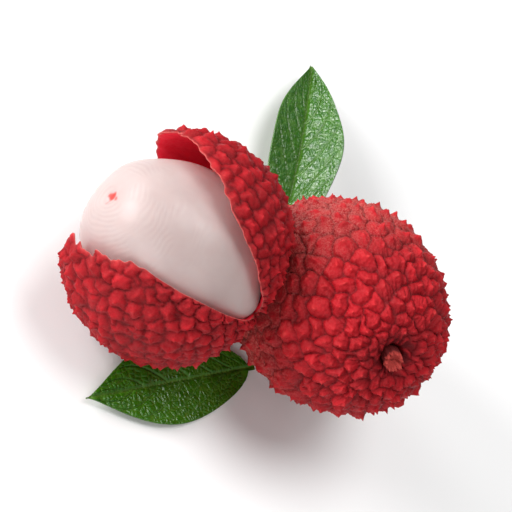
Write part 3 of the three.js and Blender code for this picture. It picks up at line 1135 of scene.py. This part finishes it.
@dataclass(frozen=True)
class Flesh:
    """The half-peeled fruit's flesh, which sits in the peel. Spans are degrees from the stem end."""

    egg: Egg = Egg(19.4, 13.7, 14.0)
    place: Place = PEELED_PLACE
    swell: float = 0.1
    fibre_gap: float = 0.75
    fibre_height: float = 0.007
    fibres_end: Span = (40, 75)
    dimple_depth: float = 0.55
    dimple_angle: float = 5.5
    scar_edge: Span = (2.0, 4.4)
    bulge: float = 0.9
    bulge_turn: float = 4.0
    bulge_width: float = 15.0
    bulge_start: Span = (45, 135)
    bulge_end: Span = (148, 172)
    pucker: float = 0.12
    pucker_angle: float = 7.0
    pucker_turn: float = 60.0
    pucker_width: float = 2.2
    fineness: int = 7

    def fibres(self, near: np.ndarray, from_stem: np.ndarray) -> np.ndarray:
        """Draws the fibres, which run round the stem end and fade.

        Args:
            near: Points of the flesh in its own frame.
            from_stem: Degrees of the points from the stem end.

        Returns:
            Shares from 0, between fibres, to 1, on one.
        """
        down = np.radians(from_stem) * self.egg.girth
        wave = np.sin(2 * math.pi * down / self.fibre_gap + 1.5 * Grain(4.0, 121).at(near))
        patches = ease(-0.4, 0.8, Grain(5.0, 123).at(near))
        return 0.5 + 0.5 * wave * patches * (1 - ease(*self.fibres_end, from_stem))

    def shape(self) -> Shape:
        """Builds the flesh: a puckered dimple at its stem end, and a bulge in the split.

        Returns:
            The flesh, in the bunch's frame.
        """
        directions, faces = ball(self.fineness)
        near = self.egg.points(directions)
        from_stem = stem_angle(directions)
        turn = turn_angle(directions)
        fibre = self.fibres(near, from_stem)
        dimple = np.exp(-((from_stem / self.dimple_angle) ** 2))
        ragged = 1 + 0.3 * np.clip(Grain(1.3, 122).at(near), -1.5, 1.5)
        scar = 1 - ease(*self.scar_edge, from_stem * ragged)
        bulge = np.exp(-(((turn - self.bulge_turn) / self.bulge_width) ** 2))
        bulge *= ease(*self.bulge_start, from_stem) * (1 - ease(*self.bulge_end, from_stem))
        from_pucker = np.hypot(from_stem - self.pucker_angle, (turn - self.pucker_turn) * 0.08)
        pucker = np.exp(-((from_pucker / self.pucker_width) ** 2))
        rise = self.swell * Grain(11, 120).at(near) + self.fibre_height * (fibre - 0.5)
        rise += self.bulge * bulge + self.pucker * pucker - self.dimple_depth * dimple
        points = self.place.to_bunch(self.egg.points(directions, rise))
        return Shape(points, faces, {"fibre": np.clip(fibre, 0, 1), "scar": np.clip(scar, 0, 1)})

    def build(self) -> bpy.types.Object:
        """Makes the piece."""
        finish = FleshFinish("moist_flesh").make()
        return self.shape().piece("peeled_flesh_white", "peeled_flesh", Slot.FLESH, finish)


class Spots(NamedTuple):
    """Places on a leaf: how far along it, how far across it, and half its width there."""

    along: np.ndarray
    share: np.ndarray
    across: np.ndarray
    half: np.ndarray


@dataclass(frozen=True)
class Leaf:
    """A leaf lying on the floor, folded along its midrib.

    A span says between which shares of the blade's length or half width something sets in or ends.
    """

    node: str
    base: tuple[float, float]
    heading: float
    blade: float
    half_width: float
    taper: float
    stalk: float
    left: float
    right: float
    arch: float
    lift: float
    wave: float
    waves: float
    stream: int
    thickness: float = 0.6
    edge_thickness: float = 0.3
    midrib_thickness: float = 1.1
    midrib_width: float = 0.7
    midrib_end: Span = (0.7, 0.98)
    stalk_half_width: float = 0.62
    tip_half_width: float = 0.12
    crease_width: float = 0.12
    vein_pairs: int = 7
    vein_width: float = 0.3
    vein_depth: float = 0.3
    vein_under: float = 0.08
    veins_end: Span = (0.82, 0.97)
    net_size: float = 1.15
    net_width: float = 0.18
    net_depth: float = 0.11
    pillow_size: float = 2.6
    pillow_height: float = 0.03
    pillow_under: float = 0.06
    pillows_start: Span = (0.02, 0.15)
    pillows_end: Span = (0.85, 1.0)
    steps_along: int = 320
    steps_across: int = 128

    def half(self, share: np.ndarray) -> np.ndarray:
        """Gives half the width of the leaf.

        Args:
            share: 0 at the base of the blade to 1 at its tip, and below 0 on the stalk.

        Returns:
            Half widths in millimetres.
        """
        inside = np.clip(share, 0, 1)
        swell = np.sin(math.pi * inside**0.95) ** (0.6 + (self.taper - 0.6) * inside)
        least = np.where(share < 0.5, self.stalk_half_width, self.tip_half_width)
        return np.maximum(self.half_width * swell, least)

    def spots(self) -> Spots:
        """Lays a grid over the flat leaf.

        Returns:
            Millimetres and shares along the blade, -1 at its left edge to 1 at its right, and half widths.
        """
        rows = np.linspace(-self.stalk, self.blade, self.steps_along + 1)
        columns = np.linspace(-1, 1, self.steps_across + 1)
        along, across = (grid.ravel() for grid in np.meshgrid(rows, columns, indexing="ij"))
        share = along / self.blade
        return Spots(along, share, across, self.half(share))

    def veins(self, spots: Spots) -> np.ndarray:
        """Draws the midrib and the side veins that curve from it towards the tip.

        Args:
            spots: Places on the flat leaf.

        Returns:
            Shares from 0, between veins, to 1, on a vein.
        """
        side = np.abs(spots.across)
        start = spots.share - 0.22 * side - 0.1 * side**2
        steps = start * self.vein_pairs + np.where(spots.across < 0, 0.0, 0.45)
        away = np.abs(steps - np.round(steps)) * self.blade / self.vein_pairs
        lateral = np.exp(-((away / (self.vein_width * (1 - 0.5 * side))) ** 2))
        lateral *= (1 - ease(*self.veins_end, side)) * ease(0.02, 0.1, spots.share)
        midrib = np.exp(-((side * spots.half / self.vein_width) ** 2))
        return np.maximum(0.85 * lateral, midrib) * ease(-0.06, 0.0, spots.share)

    def net(self, flat: np.ndarray) -> np.ndarray:
        """Draws the fine net between the veins.

        Args:
            flat: Places on the flat blade, in millimetres.

        Returns:
            Shares from 0, in an island, to 1, on the net.
        """
        draw = np.random.default_rng(self.stream)
        low, high = flat.min(axis=0) - 2, flat.max(axis=0) + 2
        count = int(np.prod(high - low) / self.net_size**2 * 1.6)
        seeds = draw.uniform(low, high, (count, 2))
        result = []
        for some in np.array_split(flat, 24):
            gaps = np.linalg.norm(some[:, None] - seeds[None], axis=-1)
            gaps.partition(1, axis=1)
            result.append(np.exp(-((gaps[:, 1] - gaps[:, 0]) / self.net_width) ** 2))
        return np.concatenate(result)

    def folded(self, spots: Spots) -> tuple[np.ndarray, np.ndarray]:
        """Folds the leaf along its midrib, and arches and ripples it.

        Args:
            spots: Places on the flat leaf.

        Returns:
            Points of the folded leaf, and which way its upper face looks there.
        """
        side = np.abs(spots.across)
        inside = np.clip(spots.share, 0, 1)
        fold = np.radians(np.where(spots.across < 0, self.left, self.right))
        rise = self.arch * np.sin(math.pi * inside) + self.lift * inside**2
        ripple = self.wave * spots.across**2 * np.sin(2 * math.pi * self.waves * spots.share)
        height = rise + side * spots.half * np.sin(fold) + ripple
        points = np.column_stack([spots.across * spots.half * np.cos(fold), spots.along, height])
        crease = ease(0, self.crease_width, side)
        middle = math.radians((self.left - self.right) / 2)
        lean = -np.sign(spots.across) * fold * crease + middle * (1 - crease)
        return points, np.stack([np.sin(lean), np.zeros_like(lean), np.cos(lean)], axis=-1)

    def laid(self, points: np.ndarray) -> np.ndarray:
        """Lowers the leaf onto the floor and turns it to its heading.

        Args:
            points: The leaf in its own frame, with its tip at +Y.

        Returns:
            The leaf in the bunch's frame.
        """
        spin = math.radians(self.heading - 90)
        turned = np.array([[math.cos(spin), -math.sin(spin)], [math.sin(spin), math.cos(spin)]])
        flat = points[:, :2] @ turned.T + np.array(self.base)
        return np.column_stack([flat, points[:, 2] - points[:, 2].min()])

    def shape(self) -> Shape:
        """Builds the two faces of the leaf, with their veins, and closes them along the edge.

        Returns:
            The leaf, in the bunch's frame.
        """
        spots = self.spots()
        middle, facing = self.folded(spots)
        side = np.abs(spots.across)
        flat = np.stack([spots.across * spots.half, spots.along], axis=-1)
        vein = self.veins(spots)
        net = self.net(flat) * ease(0.0, 0.04, spots.share)
        pillow = self.pillow_height * Grain(self.pillow_size, self.stream + 1).at(flat)
        pillow *= ease(*self.pillows_start, spots.share) * (1 - ease(*self.pillows_end, side))
        relief = pillow - self.vein_depth * vein - self.net_depth * net
        body = self.edge_thickness + (self.thickness - self.edge_thickness) * (1 - side**4)
        rib = np.exp(-((side * spots.half / self.midrib_width) ** 2))
        rib *= (self.midrib_thickness - self.thickness) * (1 - ease(*self.midrib_end, spots.share))
        depth = body + rib - self.vein_under * vein + self.pillow_under * pillow
        upper = middle + facing * relief[:, None]
        lower = middle - facing * depth[:, None]
        layers = {
            "vein": np.concatenate([vein, vein]),
            "net": np.concatenate([net, 0.6 * net]),
            "under": np.concatenate([np.zeros(len(upper)), np.ones(len(lower))]),
        }
        return Shape(self.laid(np.concatenate([upper, lower])), self.faces(), layers)

    def faces(self) -> list[list[int]]:
        """Joins the two faces of the leaf round its edge.

        Returns:
            The mesh's faces. The points of the upper face come first, then those of the lower.
        """
        row = self.steps_across + 1
        under = (self.steps_along + 1) * row
        grid = np.arange(under).reshape(self.steps_along + 1, row)
        corners = [grid[:-1, :-1], grid[:-1, 1:], grid[1:, 1:], grid[1:, :-1]]
        top = np.stack([corner.ravel() for corner in corners], axis=-1)
        border = np.concatenate([grid[0, :-1], grid[:-1, -1], grid[-1, :0:-1], grid[:0:-1, 0]])
        ahead = np.roll(border, -1)
        wall = np.stack([border, border + under, ahead + under, ahead], axis=-1)
        return [*top.tolist(), *(top[:, ::-1] + under).tolist(), *wall.tolist()]

    def build(self, finish: bpy.types.Material) -> bpy.types.Object:
        """Makes the piece with the leaves' shared finish."""
        return self.shape().piece(f"{self.node}_blade", self.node, Slot.LEAF, finish)


UPPER_LEAF = Leaf(
    node="leaf_upper", base=(-2.85, 13.7), heading=132, blade=39.5, half_width=7.9, taper=1.05, stalk=6,
    left=15, right=52, arch=2.2, lift=3, wave=0.25, waves=2.5, stream=200,
)
LOWER_LEAF = Leaf(
    node="leaf_lower", base=(12.05, -7), heading=254.5, blade=36, half_width=7.2, taper=1.25, stalk=1.5,
    left=-3, right=8, arch=0.2, lift=1, wave=0.15, waves=2, stream=210,
)


@dataclass(frozen=True)
class SoftBox:
    """A wide, soft studio light."""

    name: str
    direction: Point
    distance: float
    width: float
    power: float

    def build(self, target: Vector) -> bpy.types.Object:
        """Hangs the light.

        Args:
            target: What it points at, in metres.

        Returns:
            The light.
        """
        lamp = bpy.data.lights.new(self.name, "AREA")
        lamp.shape = "DISK"
        lamp.size = self.width * MM
        lamp.energy = self.power
        made = bpy.data.objects.new(self.name, lamp)
        away = Vector(self.direction).normalized()
        made.location = target + away * self.distance * MM
        made.rotation_euler = away.to_track_quat("Z", "Y").to_euler()
        bpy.context.collection.objects.link(made)
        return made


@dataclass(frozen=True)
class Studio:
    """The floor, the lights and the camera."""

    floor_size: float = 4000.0
    ambient: float = 0.24
    aim: Point = (-3.7, -3.49, 12.68)
    camera_distance: float = 360.0
    camera_right: Point = (0.5, 0.6124, 0.6124)
    camera_up: Point = (-0.866, 0.3536, 0.3536)
    camera_back: Point = (0.0, -0.7071, 0.7071)
    lens: float = 150.4
    sensor: float = 36.0
    clip_start: float = 10.0
    lights: tuple[SoftBox, ...] = (
        SoftBox("key_light", (-0.73, -0.59, 0.36), 700, 320, 4.8),
        SoftBox("top_light", (-0.13, 0.12, 0.97), 900, 600, 4.8),
        SoftBox("side_light", (-0.95, -0.1, 0.3), 700, 260, 1.7),
        SoftBox("back_light", (0.05, 0.72, 0.69), 900, 300, 0.5),
        SoftBox("front_light", (0.3, -0.86, 0.4), 800, 500, 2.6),
    )

    def build_floor(self) -> bpy.types.Object:
        """Lays the floor.

        Returns:
            The floor.
        """
        half = self.floor_size * MM / 2
        corners = [(-half, -half, 0), (half, -half, 0), (half, half, 0), (-half, half, 0)]
        mesh = bpy.data.meshes.new("floor")
        mesh.from_pydata(corners, [], [(0, 1, 2, 3)])
        mesh.materials.append(FloorFinish("pale_floor").make())
        made = bpy.data.objects.new("floor", mesh)
        bpy.context.collection.objects.link(made)
        return made

    def build_camera(self) -> bpy.types.Object:
        """Sets up the camera, looking down on the bunch at the photo's angle.

        Returns:
            The camera.
        """
        data = bpy.data.cameras.new("camera")
        data.lens = self.lens
        data.sensor_width = self.sensor
        data.clip_start = self.clip_start * MM
        made = bpy.data.objects.new("camera", data)
        back = Vector(self.camera_back)
        columns = (Vector(self.camera_right), Vector(self.camera_up), back)
        turned = Matrix(columns).transposed().to_4x4()
        made.matrix_world = Matrix.Translation((Vector(self.aim) + back * self.camera_distance) * MM) @ turned
        bpy.context.collection.objects.link(made)
        bpy.context.scene.camera = made
        return made

    def build(self) -> None:
        """Sets up everything round the bunch."""
        self.build_floor()
        self.build_camera()
        for light in self.lights:
            light.build(Vector(self.aim) * MM)
        world = bpy.data.worlds.new("studio")
        world.use_nodes = True
        background = world.node_tree.nodes["Background"]
        background.inputs["Color"].default_value = (1, 1, 1, 1)
        background.inputs["Strength"].default_value = self.ambient
        bpy.context.scene.world = world
        bpy.context.scene.view_settings.view_transform = "Standard"


def main() -> None:
    """Builds the studio and the bunch."""
    logging.basicConfig(level=logging.INFO, format="%(name)s: %(message)s")
    Studio().build()
    fruit = WholeLychee()
    leaf_finish = LeafFinish("glossy_leaf").make()
    pieces = [fruit.build(), StemStub(fruit).build(), Peel().build(), Flesh().build()]
    pieces += [leaf.build(leaf_finish) for leaf in (UPPER_LEAF, LOWER_LEAF)]
    LOG.info("%d pieces made", len(pieces))


if __name__ == "__main__":
    main()
